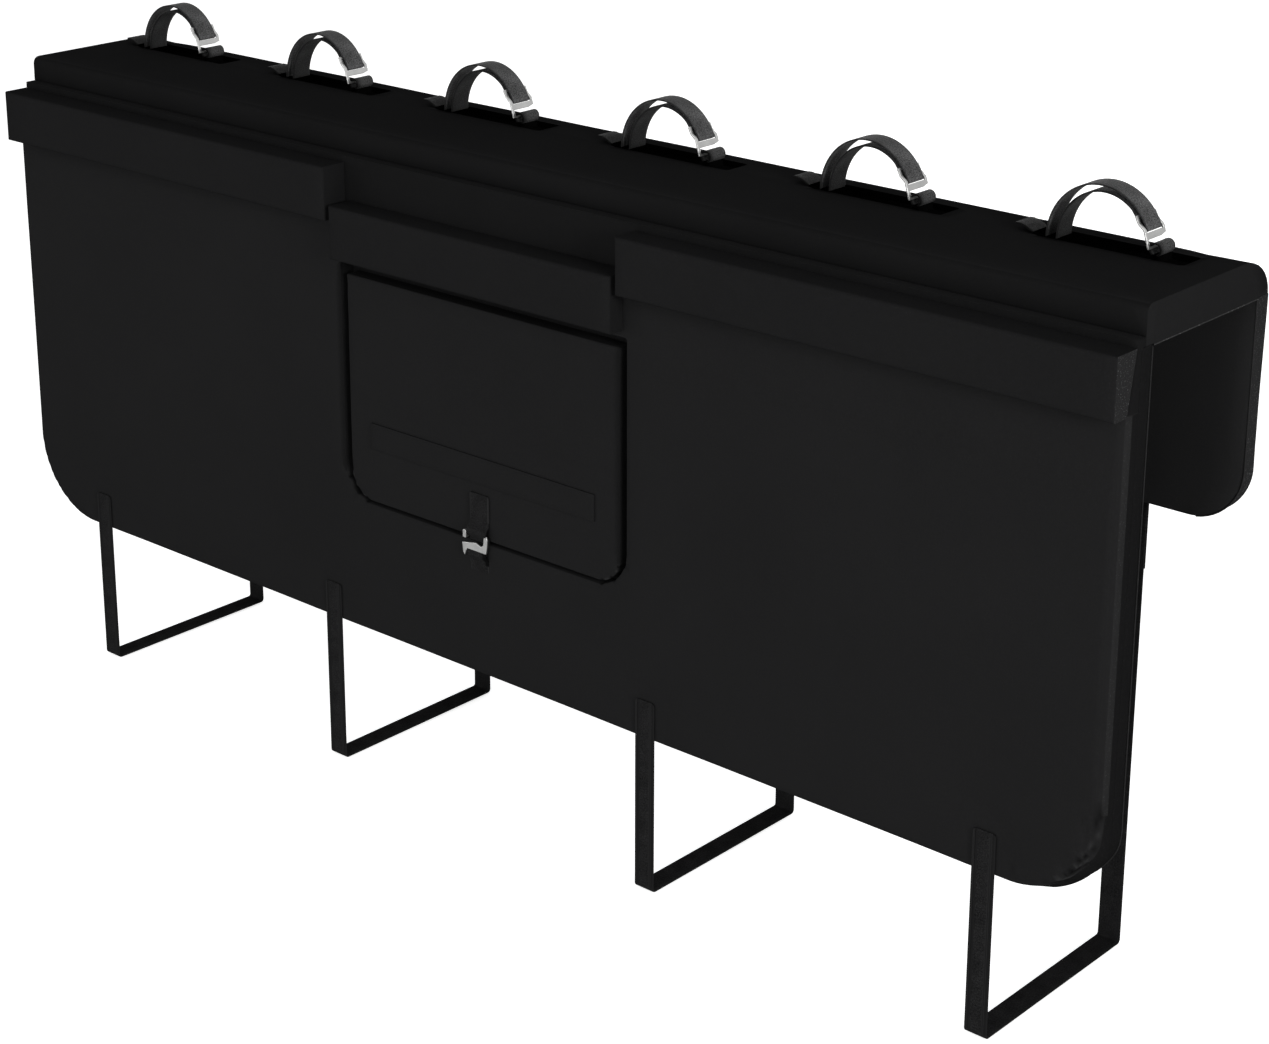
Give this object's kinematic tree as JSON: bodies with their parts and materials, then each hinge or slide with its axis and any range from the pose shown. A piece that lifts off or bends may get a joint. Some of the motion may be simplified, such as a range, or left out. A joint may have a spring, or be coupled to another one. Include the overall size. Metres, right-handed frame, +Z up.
{
  "type": "tailgate bike pad",
  "caption": "Padded cover that hangs over a pickup's tailgate, with buckled webbing straps on top for bicycle frames and an access flap in front.",
  "frame": {"origin": "middle of the top pad's underside, where it rests on the tailgate's upper edge, half-way along the pad and half-way across the channel", "axes": "+X along the pad, -Y out from the long front panel (away from the truck), +Y towards the truck's bed, +Z up"},
  "size_m": [1.55, 0.2614, 0.8063],
  "materials": {
    "pad_fabric": "matt black woven polyester over foam",
    "bumper_fabric": "matt black woven polyester over foam blocks",
    "lining_fabric": "soft matt black lining",
    "webbing": "black woven webbing",
    "buckle_metal": "pale satin metal"
  },
  "bodies": {
    "root": {"top_pad": "pad_fabric", "front_panel": "pad_fabric", "rear_flap": "pad_fabric", "access_flap": "pad_fabric", "flap_patch": "pad_fabric", "bumper_left": "bumper_fabric", "bumper_centre": "bumper_fabric", "bumper_right": "bumper_fabric", "panel_lining": "lining_fabric", "flap_strap": "webbing", "flap_anchor": "webbing", "flap_buckle": "buckle_metal", "lower_strap_1": "webbing", "rear_tab_1": "webbing", "lower_strap_2": "webbing", "rear_tab_2": "webbing", "lower_strap_3": "webbing", "rear_tab_3": "webbing", "lower_strap_4": "webbing", "rear_tab_4": "webbing", "top_strap_1": "webbing", "strap_base_1": "webbing", "strap_tab_1": "webbing", "strap_buckle_1": "buckle_metal", "top_strap_2": "webbing", "strap_base_2": "webbing", "strap_tab_2": "webbing", "strap_buckle_2": "buckle_metal", "top_strap_3": "webbing", "strap_base_3": "webbing", "strap_tab_3": "webbing", "strap_buckle_3": "buckle_metal", "top_strap_4": "webbing", "strap_base_4": "webbing", "strap_tab_4": "webbing", "strap_buckle_4": "buckle_metal", "top_strap_5": "webbing", "strap_base_5": "webbing", "strap_tab_5": "webbing", "strap_buckle_5": "buckle_metal", "top_strap_6": "webbing", "strap_base_6": "webbing", "strap_tab_6": "webbing", "strap_buckle_6": "buckle_metal"}
  },
  "joints": []
}
